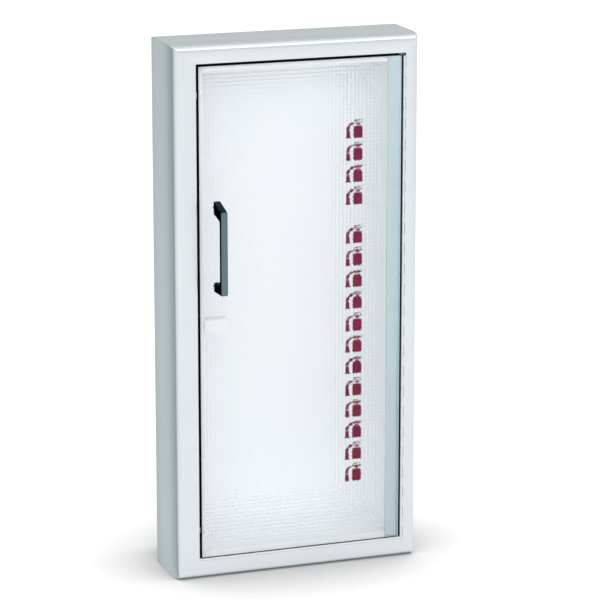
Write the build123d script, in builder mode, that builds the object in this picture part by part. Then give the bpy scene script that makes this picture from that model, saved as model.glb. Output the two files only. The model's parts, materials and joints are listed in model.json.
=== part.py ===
from build123d import *
import math
import os
from dataclasses import dataclass

# Fire extinguisher cabinet, semi-recessed and fire rated, in millimetres.
# +X is to the right as seen by someone at the door, +Y goes into the wall, +Z is up.
# The origin is on the wall plane, in the middle of the bottom wall flange.

os.makedirs("parts", exist_ok=True)

# Rolled edge trim
CABINET_WIDTH = 311.0
CABINET_HEIGHT = 654.0
TRIM_RETURN = 82.5
LEFT_FACE = 29.5
RIGHT_FACE = 18.4
RAIL_FACE = 22.7
TRIM_SHEET = 1.5
ROLL_RADIUS = 9.0
JAMB_ROLL = 0.9
STOP_LIP = 9.0
WALL_FLANGE = 12.0

# Double walled tub behind the trim
TUB_BEHIND_WALL = 54.5
LINER_SHEET = 1.2
BARRIER_BOARD = 15.9
SHELL_SHEET = 1.2
TUB_SETBACK = 0.25
FLANGE_CLEARANCE = 1.5
STUD_HOLE_RADIUS = 3.5
STUD_HOLE_SPACING = 381.0
STUD_HOLE_FROM_BACK = 14.2

# Door panel and the gaps round it
DOOR_THICKNESS = 6.0
DOOR_CHAMFER = 0.5
REVEAL = 3.0
HINGE_GROOVE = 2.6
STOP_GAP = 3.5

# Continuous hinge
LEAF_SHEET = 0.85
PIN_RADIUS = 0.85
PIN_CLEARANCE = 0.05
KNUCKLE_LENGTH = 12.7
KNUCKLE_GAP = 0.3
KNUCKLE_RELIEF = 0.5
KNUCKLE_SIDE_COUNT = 12
BORE_SIDE_COUNT = 8
DOOR_LEAF_WIDTH = 20.0
LEAF_END_GAP = 0.3
PIN_END_INSET = 1.0

# Bow pull
PULL_FROM_LEFT = 54.2
PULL_HEIGHT = 412.0
PULL_SCREW_SPACING = 96.0
PULL_UPPER_FOOT = 16.0
PULL_UPPER_END_TO_SCREW = 8.0
PULL_UPPER_SLOPE = 8.5
PULL_LOWER_FOOT = 11.5
PULL_LOWER_END_TO_SCREW = 6.0
PULL_LOWER_SLOPE = 0.5
PULL_PROJECTION = 27.5
PULL_GRIP = 6.5
PULL_WIDTH = 8.5
PULL_BEND_RADIUS = 2.5
PULL_INNER_RADIUS = 3.5
PULL_EDGE_RADIUS = 1.2
SCREW_RADIUS = 2.0
SCREW_ENGAGEMENT = 12.0
SCREW_TIP_GAP = 1.5
SCREW_BORE_CLEARANCE = 0.05
SCREW_HEAD_RADIUS = 3.4
SCREW_HEAD_HEIGHT = 2.4
SCREW_HEAD_BEVEL = 0.8
WASHER_RADIUS = 4.2
WASHER_SHEET = 1.0
PANEL_HOLE_CLEARANCE = 0.3

# Catch and bumpers
CATCH_BELOW_PULL_SCREW = 48.5
STRIKE_WIDTH = 34.0
STRIKE_HEIGHT = 14.0
STRIKE_SHEET = 1.0
STRIKE_CORNER = 2.0
MAGNET_GAP = 0.3
MAGNET_WIDTH = 30.0
MAGNET_HEIGHT = 13.0
MAGNET_DEPTH = 13.0
MAGNET_ROUND = 1.0
MAGNET_FOOT_SHEET = 1.6
MAGNET_FOOT_HEIGHT = 34.0
MAGNET_FOOT_DEPTH = 18.0
BUMPER_RADIUS = 4.0
BUMPER_BEVEL = 1.0
BUMPER_GAP = 0.3
BUMPER_FROM_END = 60.0


@dataclass(frozen=True)
class Border:
    """Four edges of an upright rectangle, seen from the front."""

    left: float
    right: float
    bottom: float
    top: float

    @property
    def centre(self):
        return ((self.left + self.right) / 2, (self.bottom + self.top) / 2)

    @property
    def size(self):
        return (self.right - self.left, self.top - self.bottom)

    def grow(self, margin):
        return Border(
            self.left - margin, self.right + margin, self.bottom - margin, self.top + margin
        )


def depth_plane(depth):
    """A plane that faces the viewer, this deep behind the front of the trim."""
    return Plane.XZ.offset(TRIM_RETURN - depth)


def depth_to_y(depth):
    return depth - TRIM_RETURN


# Places that several pieces share
cabinet = Border(
    -CABINET_WIDTH / 2,
    CABINET_WIDTH / 2,
    -WALL_FLANGE / 2,
    CABINET_HEIGHT - WALL_FLANGE / 2,
)
opening = Border(
    cabinet.left + LEFT_FACE,
    cabinet.right - RIGHT_FACE,
    cabinet.bottom + RAIL_FACE,
    cabinet.top - RAIL_FACE,
)
lip_front = DOOR_THICKNESS + STOP_GAP
lip_back = lip_front + TRIM_SHEET

barrel_radius = PIN_RADIUS + PIN_CLEARANCE + LEAF_SHEET
pin_x = opening.right - barrel_radius
pin_y = depth_to_y(0)
door = Border(
    opening.left + REVEAL,
    pin_x - barrel_radius - HINGE_GROOVE,
    opening.bottom + REVEAL,
    opening.top - REVEAL,
)

# The tub's inner faces lie just behind the edge of the stop lip, or further in
# where its outer faces would otherwise meet the wall flange.
tub_wall = LINER_SHEET + BARRIER_BOARD + SHELL_SHEET
lip_edge = opening.grow(-STOP_LIP - TUB_SETBACK)
flange_edge = cabinet.grow(-WALL_FLANGE - FLANGE_CLEARANCE - tub_wall)
interior = Border(
    max(lip_edge.left, flange_edge.left),
    min(lip_edge.right, flange_edge.right),
    max(lip_edge.bottom, flange_edge.bottom),
    min(lip_edge.top, flange_edge.top),
)
tub_depth = TRIM_RETURN + TUB_BEHIND_WALL
interior_back = tub_depth - tub_wall


# Trim: four lengths of one folded section, welded at their mitres.
def corner(border, side, end):
    return (getattr(border, side), getattr(border, end))


# A mitre runs at 45 degrees through the roll, straight on to the fold into the jamb,
# and at 45 degrees again through the jamb and the stop lip.
mitre_borders = [
    cabinet,
    cabinet.grow(-ROLL_RADIUS),
    opening.grow(TRIM_SHEET),
    opening.grow(-STOP_LIP),
]
# Each member: the corner where its section is drawn, the direction from its outer edge
# towards the door, its face, its length, and its two mitres.
trim_members = {
    "trim_left_stile": (
        ("left", "bottom"), Vector(1, 0, 0), LEFT_FACE, CABINET_HEIGHT,
        ("left", "bottom"), ("left", "top"),
    ),
    "trim_right_stile": (
        ("right", "top"), Vector(-1, 0, 0), RIGHT_FACE, CABINET_HEIGHT,
        ("right", "top"), ("right", "bottom"),
    ),
    "trim_bottom_rail": (
        ("right", "bottom"), Vector(0, 0, 1), RAIL_FACE, CABINET_WIDTH,
        ("right", "bottom"), ("left", "bottom"),
    ),
    "trim_top_rail": (
        ("left", "top"), Vector(0, 0, -1), RAIL_FACE, CABINET_WIDTH,
        ("left", "top"), ("right", "top"),
    ),
}
for name, (start, inwards, face, length, first_mitre, second_mitre) in trim_members.items():
    start_x, start_z = corner(cabinet, *start)
    section_plane = Plane(
        origin=(start_x, depth_to_y(0), start_z),
        x_dir=inwards,
        z_dir=inwards.cross(Vector(0, 1, 0)),
    )
    with BuildPart() as trim_member:
        # Local X runs in from the outer edge and local Y back from the front.
        with BuildSketch(section_plane) as section:
            Rectangle(TRIM_SHEET, TRIM_RETURN, align=Align.MIN)
            Rectangle(face, TRIM_SHEET, align=Align.MIN)
            with Locations((face, 0)):
                Rectangle(TRIM_SHEET, lip_back, align=(Align.MAX, Align.MIN))
            with Locations((face - TRIM_SHEET, lip_back)):
                Rectangle(STOP_LIP + TRIM_SHEET, TRIM_SHEET, align=(Align.MIN, Align.MAX))
            with Locations((0, TRIM_RETURN)):
                Rectangle(WALL_FLANGE, TRIM_SHEET, align=(Align.MIN, Align.MAX))
            fillet(section.vertices().sort_by_distance((0, 0))[0], radius=ROLL_RADIUS)
            fillet(
                section.vertices().sort_by_distance((TRIM_SHEET, TRIM_SHEET))[0],
                radius=ROLL_RADIUS - TRIM_SHEET,
            )
            fillet(section.vertices().sort_by_distance((face, 0))[0], radius=JAMB_ROLL)
        extrude(amount=length)
        with BuildSketch(depth_plane(0)):
            with BuildLine():
                Polyline(
                    *[corner(border, *first_mitre) for border in mitre_borders],
                    *[corner(border, *second_mitre) for border in reversed(mitre_borders)],
                    close=True,
                )
            make_face()
        extrude(amount=-TRIM_RETURN, mode=Mode.INTERSECT)
    trim_member.part.label = name
    export_step(trim_member.part, f"parts/{name}.step")


# Tub: a white liner, a fire barrier board and an outer shell, one inside the other.
def layer_borders(inner, outer):
    """The borders of a layer's four side walls; left and right run full height."""
    return {
        "left": Border(outer.left, inner.left, outer.bottom, outer.top),
        "right": Border(inner.right, outer.right, outer.bottom, outer.top),
        "bottom": Border(inner.left, inner.right, outer.bottom, inner.bottom),
        "top": Border(inner.left, inner.right, inner.top, outer.top),
    }


middle_z = cabinet.centre[1]
stud_hole_heights = [middle_z - STUD_HOLE_SPACING / 2, middle_z + STUD_HOLE_SPACING / 2]
stud_hole_y = depth_to_y(interior_back) - STUD_HOLE_FROM_BACK
liner_outer = interior.grow(LINER_SHEET)
barrier_outer = liner_outer.grow(BARRIER_BOARD)
shell_outer = barrier_outer.grow(SHELL_SHEET)
liner_back = interior_back + LINER_SHEET
barrier_back = liner_back + BARRIER_BOARD

# The shell turns in over the front edge of the board and ends on the liner.
board_front = lip_back + SHELL_SHEET
shell_turn_ins = layer_borders(liner_outer, barrier_outer)

layers = {
    "liner": (interior, liner_outer, lip_back, interior_back, liner_back),
    "barrier": (liner_outer, barrier_outer, board_front, liner_back, barrier_back),
    "shell": (barrier_outer, shell_outer, lip_back, barrier_back, tub_depth),
}
for layer, (inner, outer, front, back_inner, back_outer) in layers.items():
    for side, border in layer_borders(inner, outer).items():
        with BuildPart() as wall:
            with BuildSketch(depth_plane(front)):
                with Locations(border.centre):
                    Rectangle(*border.size)
            extrude(amount=-(back_inner - front))
            if layer == "shell":
                with BuildSketch(depth_plane(front)):
                    with Locations(shell_turn_ins[side].centre):
                        Rectangle(*shell_turn_ins[side].size)
                extrude(amount=-SHELL_SHEET)
            if side in ("left", "right"):
                with BuildSketch(Plane.YZ.offset(border.centre[0])):
                    with Locations(*[(stud_hole_y, z) for z in stud_hole_heights]):
                        Circle(STUD_HOLE_RADIUS)
                extrude(amount=border.size[0], both=True, mode=Mode.SUBTRACT)
        name = f"{layer}_{side}"
        wall.part.label = name
        export_step(wall.part, f"parts/{name}.step")
    with BuildPart() as back:
        with BuildSketch(depth_plane(back_inner)):
            with Locations(outer.centre):
                Rectangle(*outer.size)
        extrude(amount=-(back_outer - back_inner))
    name = f"{layer}_back"
    back.part.label = name
    export_step(back.part, f"parts/{name}.step")


# Door: one clear acrylic panel, drilled for the pull.
pull_x = cabinet.left + PULL_FROM_LEFT
pull_z = cabinet.bottom + PULL_HEIGHT - (PULL_UPPER_END_TO_SCREW - PULL_LOWER_END_TO_SCREW) / 2
pull_screw_heights = {
    "lower": pull_z - PULL_SCREW_SPACING / 2,
    "upper": pull_z + PULL_SCREW_SPACING / 2,
}
pull_screw_points = [(pull_x, z) for z in pull_screw_heights.values()]

with BuildPart() as door_panel:
    with BuildSketch(depth_plane(0)):
        with Locations(door.centre):
            Rectangle(*door.size)
    extrude(amount=-DOOR_THICKNESS)
    chamfer(door_panel.faces().sort_by(Axis.Y)[0].edges(), length=DOOR_CHAMFER)
    with BuildSketch(depth_plane(0)):
        with Locations(*pull_screw_points):
            Circle(SCREW_RADIUS + PANEL_HOLE_CLEARANCE)
    extrude(amount=-DOOR_THICKNESS, mode=Mode.SUBTRACT)
door_panel.part.label = "door_panel"
export_step(door_panel.part, "parts/door_panel.step")


# Continuous hinge: two leaves with knuckles by turns on one pin, as tall as the door.
# The small knuckles are drawn with flats, which lie inside the barrel's round.
hinge_height = door.size[1]
pair_count = math.floor((hinge_height / KNUCKLE_LENGTH - 1) / 2)
knuckle_count = 2 * pair_count + 1
knuckle_pitch = hinge_height / knuckle_count
knuckle_bottoms = [
    door.bottom + number * knuckle_pitch + KNUCKLE_GAP / 2 for number in range(knuckle_count)
]
leaf_start = barrel_radius + KNUCKLE_RELIEF

# Each leaf is tangent to the barrel: 1 puts it on the pin's right, -1 on its left.
# The frame's leaf lies along the jamb. The door's turns in behind the panel's edge.
leaves = {
    "hinge_frame_leaf": (1, knuckle_bottoms[::2], lip_front - LEAF_END_GAP),
    "hinge_door_leaf": (-1, knuckle_bottoms[1::2], DOOR_THICKNESS + LEAF_SHEET),
}
for name, (side, bottoms, leaf_end) in leaves.items():
    web_x = pin_x + side * (barrel_radius - LEAF_SHEET / 2)
    with BuildPart() as leaf:
        with BuildSketch(*[Plane.XY.offset(z) for z in bottoms]):
            with Locations((pin_x, pin_y)):
                RegularPolygon(barrel_radius, KNUCKLE_SIDE_COUNT)
            with Locations((web_x, pin_y)):
                Rectangle(LEAF_SHEET, leaf_start, align=(Align.CENTER, Align.MIN))
            with Locations((pin_x, pin_y)):
                RegularPolygon(
                    PIN_RADIUS + PIN_CLEARANCE,
                    BORE_SIDE_COUNT,
                    major_radius=False,
                    mode=Mode.SUBTRACT,
                )
        extrude(amount=knuckle_pitch - KNUCKLE_GAP)
        with BuildSketch(Plane.XY.offset(door.bottom + KNUCKLE_GAP / 2)):
            with Locations((web_x, depth_to_y(leaf_end))):
                Rectangle(LEAF_SHEET, leaf_end - leaf_start, align=(Align.CENTER, Align.MAX))
            if name == "hinge_door_leaf":
                with Locations((web_x + LEAF_SHEET / 2, depth_to_y(leaf_end))):
                    Rectangle(
                        LEAF_SHEET + HINGE_GROOVE + DOOR_LEAF_WIDTH,
                        LEAF_SHEET,
                        align=(Align.MAX, Align.MAX),
                    )
        extrude(amount=hinge_height - KNUCKLE_GAP)
    leaf.part.label = name
    export_step(leaf.part, f"parts/{name}.step")

with BuildPart() as hinge_pin:
    with BuildSketch(Plane.XY.offset(door.bottom + PIN_END_INSET)):
        with Locations((pin_x, pin_y)):
            Circle(PIN_RADIUS)
    extrude(amount=hinge_height - 2 * PIN_END_INSET)
hinge_pin.part.label = "hinge_pin"
export_step(hinge_pin.part, "parts/hinge_pin.step")


# Bow pull: its side view, from the door's face outwards, carried across its width.
# Its upper end slopes down from the door to the grip and its lower end is square.
upper_end = pull_screw_heights["upper"] + PULL_UPPER_END_TO_SCREW
lower_end = pull_screw_heights["lower"] - PULL_LOWER_END_TO_SCREW
door_face_y = depth_to_y(0)
grip_front_y = door_face_y - PULL_PROJECTION
grip_back_y = grip_front_y + PULL_GRIP

with BuildPart() as pull_handle:
    with BuildSketch(Plane.YZ.offset(pull_x)) as pull_side:
        with BuildLine():
            Polyline(
                (door_face_y, upper_end - PULL_UPPER_FOOT),
                (grip_back_y, upper_end - PULL_UPPER_FOOT - PULL_UPPER_SLOPE / 2),
                (grip_back_y, lower_end + PULL_LOWER_FOOT),
                (door_face_y, lower_end + PULL_LOWER_FOOT),
                (door_face_y, lower_end),
                (grip_front_y, lower_end + PULL_LOWER_SLOPE),
                (grip_front_y, upper_end - PULL_UPPER_SLOPE),
                (door_face_y, upper_end),
                close=True,
            )
        make_face()
        fillet(pull_side.vertices().group_by(Axis.X)[1], radius=PULL_INNER_RADIUS)
        fillet(pull_side.vertices().group_by(Axis.X)[0], radius=PULL_BEND_RADIUS)
    extrude(amount=PULL_WIDTH / 2, both=True)
    outline_edges = pull_handle.edges().filter_by(Axis.X, reverse=True)
    fillet(
        outline_edges.filter_by_position(
            Axis.Y, grip_front_y, door_face_y, inclusive=(True, False)
        ),
        radius=PULL_EDGE_RADIUS,
    )
    with BuildSketch(depth_plane(0)):
        with Locations(*pull_screw_points):
            Circle(SCREW_RADIUS + SCREW_BORE_CLEARANCE)
    extrude(amount=SCREW_ENGAGEMENT + SCREW_TIP_GAP, mode=Mode.SUBTRACT)
pull_handle.part.label = "pull_handle"
export_step(pull_handle.part, "parts/pull_handle.step")

# The pull's screws go through a washer and the panel into its feet.
for place, screw_z in pull_screw_heights.items():
    with BuildPart() as washer:
        with BuildSketch(depth_plane(DOOR_THICKNESS)):
            with Locations((pull_x, screw_z)):
                Circle(WASHER_RADIUS)
                Circle(SCREW_RADIUS + PANEL_HOLE_CLEARANCE, mode=Mode.SUBTRACT)
        extrude(amount=-WASHER_SHEET)
    washer.part.label = f"pull_washer_{place}"
    export_step(washer.part, f"parts/pull_washer_{place}.step")

    seat_depth = DOOR_THICKNESS + WASHER_SHEET
    with BuildPart() as screw:
        with BuildSketch(depth_plane(seat_depth)):
            with Locations((pull_x, screw_z)):
                Circle(SCREW_HEAD_RADIUS)
        extrude(amount=-SCREW_HEAD_HEIGHT)
        chamfer(screw.faces().sort_by(Axis.Y)[-1].edges(), length=SCREW_HEAD_BEVEL)
        with BuildSketch(depth_plane(seat_depth)):
            with Locations((pull_x, screw_z)):
                Circle(SCREW_RADIUS)
        extrude(amount=seat_depth + SCREW_ENGAGEMENT)
    screw.part.label = f"pull_screw_{place}"
    export_step(screw.part, f"parts/pull_screw_{place}.step")


# Magnetic catch: its case on the liner's side, its strike on the back of the door.
catch_z = pull_screw_heights["lower"] - CATCH_BELOW_PULL_SCREW
with BuildPart() as catch_strike:
    with BuildSketch(depth_plane(DOOR_THICKNESS)):
        with Locations((interior.left, catch_z)):
            Rectangle(STRIKE_WIDTH, STRIKE_HEIGHT, align=(Align.MIN, Align.CENTER))
    extrude(amount=-STRIKE_SHEET)
    fillet(catch_strike.edges().filter_by(Axis.Y), radius=STRIKE_CORNER)
catch_strike.part.label = "catch_strike"
export_step(catch_strike.part, "parts/catch_strike.step")

magnet_front = DOOR_THICKNESS + STRIKE_SHEET + MAGNET_GAP
with BuildPart() as catch_magnet:
    with BuildSketch(depth_plane(magnet_front)):
        with Locations((interior.left, catch_z)):
            Rectangle(MAGNET_WIDTH, MAGNET_HEIGHT, align=(Align.MIN, Align.CENTER))
    extrude(amount=-MAGNET_DEPTH)
    fillet(catch_magnet.edges().filter_by(Axis.X), radius=MAGNET_ROUND)
    with BuildSketch(depth_plane(lip_back)):
        with Locations((interior.left, catch_z)):
            Rectangle(MAGNET_FOOT_SHEET, MAGNET_FOOT_HEIGHT, align=(Align.MIN, Align.CENTER))
    extrude(amount=-MAGNET_FOOT_DEPTH)
catch_magnet.part.label = "catch_magnet"
export_step(catch_magnet.part, "parts/catch_magnet.step")

# Rubber bumpers on the stop lip, on the side where the door opens
bumper_heights = {
    "lower": cabinet.bottom + BUMPER_FROM_END,
    "upper": cabinet.top - BUMPER_FROM_END,
}
for place, bumper_z in bumper_heights.items():
    with BuildPart() as bumper:
        with BuildSketch(depth_plane(lip_front)):
            with Locations((opening.left + STOP_LIP / 2, bumper_z)):
                Circle(BUMPER_RADIUS)
        extrude(amount=STOP_GAP - BUMPER_GAP)
        chamfer(bumper.faces().sort_by(Axis.Y)[0].edges(), length=BUMPER_BEVEL)
    bumper.part.label = f"door_bumper_{place}"
    export_step(bumper.part, f"parts/door_bumper_{place}.step")
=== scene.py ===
"""Looks of a semi-recessed fire extinguisher cabinet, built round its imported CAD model.

The cabinet is a rolled-edge trim of satin stainless steel with a flush door of prismatic
acrylic on a continuous hinge, a bow pull, and a double-walled tub behind the trim.
Lengths are in millimetres until a mesh is made, and X is right, -Y outwards and Z up.
"""

import json
import logging
import math
from dataclasses import dataclass
from enum import Enum
from functools import cache

import bmesh
import bpy
import numpy as np
from mathutils import Matrix, Vector


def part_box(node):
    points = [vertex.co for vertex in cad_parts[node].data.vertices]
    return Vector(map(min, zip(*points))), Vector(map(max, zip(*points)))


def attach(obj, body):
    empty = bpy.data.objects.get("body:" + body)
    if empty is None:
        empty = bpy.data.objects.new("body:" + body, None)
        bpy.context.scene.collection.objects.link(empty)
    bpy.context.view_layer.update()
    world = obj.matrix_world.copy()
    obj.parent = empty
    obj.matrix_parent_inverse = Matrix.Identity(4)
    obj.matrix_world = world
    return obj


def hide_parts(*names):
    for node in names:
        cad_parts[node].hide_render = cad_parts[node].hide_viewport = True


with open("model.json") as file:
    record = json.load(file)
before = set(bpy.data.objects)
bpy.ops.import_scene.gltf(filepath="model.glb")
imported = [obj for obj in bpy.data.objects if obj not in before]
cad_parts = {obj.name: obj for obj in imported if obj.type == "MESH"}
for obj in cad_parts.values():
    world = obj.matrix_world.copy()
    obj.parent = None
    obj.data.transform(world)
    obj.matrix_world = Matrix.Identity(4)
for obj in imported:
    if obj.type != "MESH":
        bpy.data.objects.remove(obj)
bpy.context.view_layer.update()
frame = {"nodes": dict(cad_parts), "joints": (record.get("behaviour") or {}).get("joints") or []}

LOG = logging.getLogger("cabinet")
MM = 0.001
NUMBER, VECTOR, COLOUR = "NodeSocketFloat", "NodeSocketVector", "NodeSocketColor"
WHITE = (1.0, 1.0, 1.0)
Triple = tuple[float, float, float]
Socket = bpy.types.NodeSocket


class Body(Enum):
    """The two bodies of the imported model."""

    CABINET = "cabinet"
    DOOR = "door"


class Side(Enum):
    """A side of the pin, as a sign along X."""

    LEFT = -1
    RIGHT = 1


def node_box(*names: str) -> np.ndarray:
    """Gives the box round some CAD nodes.

    Args:
        names: The nodes' names.

    Returns:
        Lowest and highest corner as two rows, in millimetres.
    """
    corners = np.array([[list(corner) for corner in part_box(name)] for name in names])
    return np.stack([corners[:, 0].min(axis=0), corners[:, 1].max(axis=0)]) / MM


@dataclass(frozen=True)
class Border:
    """Four edges of an upright rectangle, seen from the front."""

    left: float
    right: float
    bottom: float
    top: float

    @classmethod
    def around(cls, box: np.ndarray) -> "Border":
        """Gives the border of a box, seen from the front."""
        return cls(float(box[0, 0]), float(box[1, 0]), float(box[0, 2]), float(box[1, 2]))

    def grow(self, margin: float) -> "Border":
        """Gives the border moved outwards by a margin."""
        return Border(
            self.left - margin, self.right + margin, self.bottom - margin, self.top + margin
        )


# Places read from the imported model
trim_box = node_box("trim_left_stile", "trim_right_stile")
door_box = node_box("door_panel")
shell_box = node_box("shell_left", "shell_right", "shell_back")
FRONT, WALL = (float(y) for y in trim_box[:, 1])
DOOR_BACK = float(door_box[1, 1])
LIP_GAP = 0.3
LIP = float(node_box("hinge_frame_leaf")[1, 1]) + LIP_GAP
CABINET = Border.around(trim_box)
DOOR = Border.around(door_box)
PIN_X, PIN_Y = (value / MM for value in frame["joints"][0]["pos_m"][:2])


def arc(centre: tuple, radius: float, start: float, end: float, steps: int) -> np.ndarray:
    """Gives points on a circular arc: centre + radius * (cos, sin) of evenly spaced angles.

    Args:
        centre: The two coordinates of the arc's centre.
        radius: Its radius.
        start: First angle in degrees.
        end: Last angle in degrees.
        steps: Number of divisions.

    Returns:
        Array of shape (steps + 1, 2).
    """
    angle = np.radians(np.linspace(start, end, steps + 1))
    return np.array(centre) + radius * np.stack([np.cos(angle), np.sin(angle)], axis=-1)


def rounded_contours(borders: np.ndarray, radius: np.ndarray, steps: int) -> np.ndarray:
    """Gives rectangles with rounded corners, one for each row.

    Each corner is an arc about a point one radius in from both edges, and the four arcs
    follow each other from the lower left corner, seen from the front.

    Args:
        borders: Left, right, bottom and top of each rectangle, shape (rows, 4).
        radius: Corner radius of each, shape (rows,).
        steps: Divisions of each corner.

    Returns:
        X and Z of the points, shape (rows, 4 * (steps + 1), 2).
    """
    left, right, bottom, top = borders.T
    centre_x = np.stack([left + radius, right - radius, right - radius, left + radius], axis=1)
    centre_z = np.stack([bottom + radius, bottom + radius, top - radius, top - radius], axis=1)
    start = np.array([math.pi, 1.5 * math.pi, 0.0, 0.5 * math.pi])
    angle = start[:, None] + np.linspace(0.0, 0.5 * math.pi, steps + 1)[None, :]
    x = centre_x[:, :, None] + radius[:, None, None] * np.cos(angle)[None]
    z = centre_z[:, :, None] + radius[:, None, None] * np.sin(angle)[None]
    rows = len(radius)
    return np.stack([x.reshape(rows, -1), z.reshape(rows, -1)], axis=-1)


def stacked_rings(outline: np.ndarray, places: list[float], axis: int = 2) -> np.ndarray:
    """Repeats a flat outline at several places along an axis.

    Args:
        outline: Points of the outline in the other two axes, shape (points, 2).
        places: Where each ring lies on the axis.
        axis: The axis, 0 to 2.

    Returns:
        Rings of shape (places, points, 3).
    """
    rings = np.empty((len(places), len(outline), 3))
    rings[:, :, [other for other in range(3) if other != axis]] = outline
    rings[:, :, axis] = np.array(places)[:, None]
    return rings


def framed_rings(borders: list[Border], depths: list[float]) -> np.ndarray:
    """Carries a profile round a rectangle, with a mitre at each corner.

    Args:
        borders: The rectangle that each point of the profile runs along.
        depths: Y of each point.

    Returns:
        Four rings, one at each corner, of shape (4, points, 3).
    """
    rings = np.empty((4, len(borders), 3))
    for column, (border, depth) in enumerate(zip(borders, depths)):
        rings[:, column, 0] = [border.right, border.left, border.left, border.right]
        rings[:, column, 1] = depth
        rings[:, column, 2] = [border.bottom, border.bottom, border.top, border.top]
    return rings


def turned_rings(profile: np.ndarray, centre: Triple, sides: int) -> np.ndarray:
    """Turns a profile round an axis along Y.

    A profile point (radius, reach) becomes the ring centre + radius * (cos, sin) in X and Z,
    moved by reach along Y.

    Args:
        profile: Radius and reach of each ring, shape (rings, 2).
        centre: The point on the axis where reach is zero.
        sides: Points on each ring.

    Returns:
        Rings of shape (rings, sides, 3).
    """
    angle = np.linspace(0.0, 2.0 * math.pi, sides, endpoint=False)
    radius, reach = profile[:, 0][:, None], profile[:, 1][:, None]
    ring = np.broadcast_arrays(radius * np.cos(angle), reach, radius * np.sin(angle))
    return np.stack(ring, axis=-1) + np.array(centre)


def rivet_rings(centre: Triple, radius: float) -> np.ndarray:
    """Gives a low domed rivet head that faces backwards.

    Args:
        centre: The middle of its seat.
        radius: The head's radius, of which its height is a fixed share.

    Returns:
        Rings of shape (5, 14, 3).
    """
    profile = np.array([(1.0, -0.12), (1.0, 0.0), (0.87, 0.2), (0.52, 0.35), (0.05, 0.41)])
    return turned_rings(profile * radius, centre, 14)


class Surface:
    """Vertices and faces of one closed surface, or of several in one mesh."""

    def __init__(self, *blocks: np.ndarray, closed: bool = False) -> None:
        """Starts with some blocks of rings, or with nothing.

        Args:
            blocks: Rings as add_rings takes them.
            closed: Whether each block's last ring is joined to its first one.
        """
        self.blocks: list[np.ndarray] = []
        self.faces: list[list[int]] = []
        self.count = 0
        for rings in blocks:
            self.add_rings(rings, closed)

    def add(self, points: np.ndarray, faces: list) -> None:
        """Adds a block of points with its faces.

        Args:
            points: One row per point, in millimetres.
            faces: Lists of point numbers within the block.
        """
        self.faces += [[self.count + number for number in face] for face in faces]
        self.blocks.append(points)
        self.count += len(points)

    def add_rings(self, rings: np.ndarray, closed: bool = False) -> None:
        """Adds rings of points joined by quads.

        Point p of ring r is joined to point p + 1 of the same ring and to the same two
        points of ring r + 1. The first and last ring are capped, or joined if closed.

        Args:
            rings: Array of shape (rings, points, 3).
            closed: Whether the last ring is joined to the first one.
        """
        count, size = rings.shape[:2]
        ring = np.arange(count if closed else count - 1)[:, None]
        point = np.arange(size)[None, :]
        here, beyond = ring * size, (ring + 1) % count * size
        after = (point + 1) % size
        quads = np.stack([here + point, here + after, beyond + after, beyond + point], axis=-1)
        faces = quads.reshape(-1, 4).tolist()
        if not closed:
            faces += [list(range(size))[::-1], list(range((count - 1) * size, count * size))]
        self.add(rings.reshape(-1, 3), faces)

    def add_box(self, low: Triple, high: Triple) -> None:
        """Adds a box with straight edges.

        Args:
            low: Its lowest corner.
            high: Its highest corner.
        """
        (left, front, bottom), (right, back, top) = low, high
        outline = np.array([(left, front), (right, front), (right, back), (left, back)])
        self.add_rings(stacked_rings(outline, [bottom, top]))

    def make(
        self,
        name: str,
        finish: "Finish",
        body: Body,
        replaces: tuple[str, ...] = (),
        crease: float = 35.0,
    ) -> bpy.types.Object:
        """Makes the mesh object, dresses it and lets it ride on its body.

        Args:
            name: The piece's name.
            finish: Its finish.
            body: The body that it moves with.
            replaces: CAD nodes that it stands for.
            crease: Angle in degrees past which an edge stays sharp.

        Returns:
            The finished object, at the origin.
        """
        mesh = bpy.data.meshes.new(name)
        points = np.concatenate(self.blocks) * MM
        mesh.from_pydata(points.tolist(), [], self.faces)
        work = bmesh.new()
        work.from_mesh(mesh)
        bmesh.ops.recalc_face_normals(work, faces=work.faces)
        work.to_mesh(mesh)
        work.free()
        mesh.shade_smooth()
        mesh.set_sharp_from_angle(angle=math.radians(crease))
        piece = bpy.data.objects.new(name, mesh)
        bpy.context.scene.collection.objects.link(piece)
        mesh.materials.append(finish.material())
        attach(piece, body.value)
        if replaces:
            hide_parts(*replaces)
        LOG.info("%s: %d faces on %s", name, len(mesh.polygons), body.value)
        return piece


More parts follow.
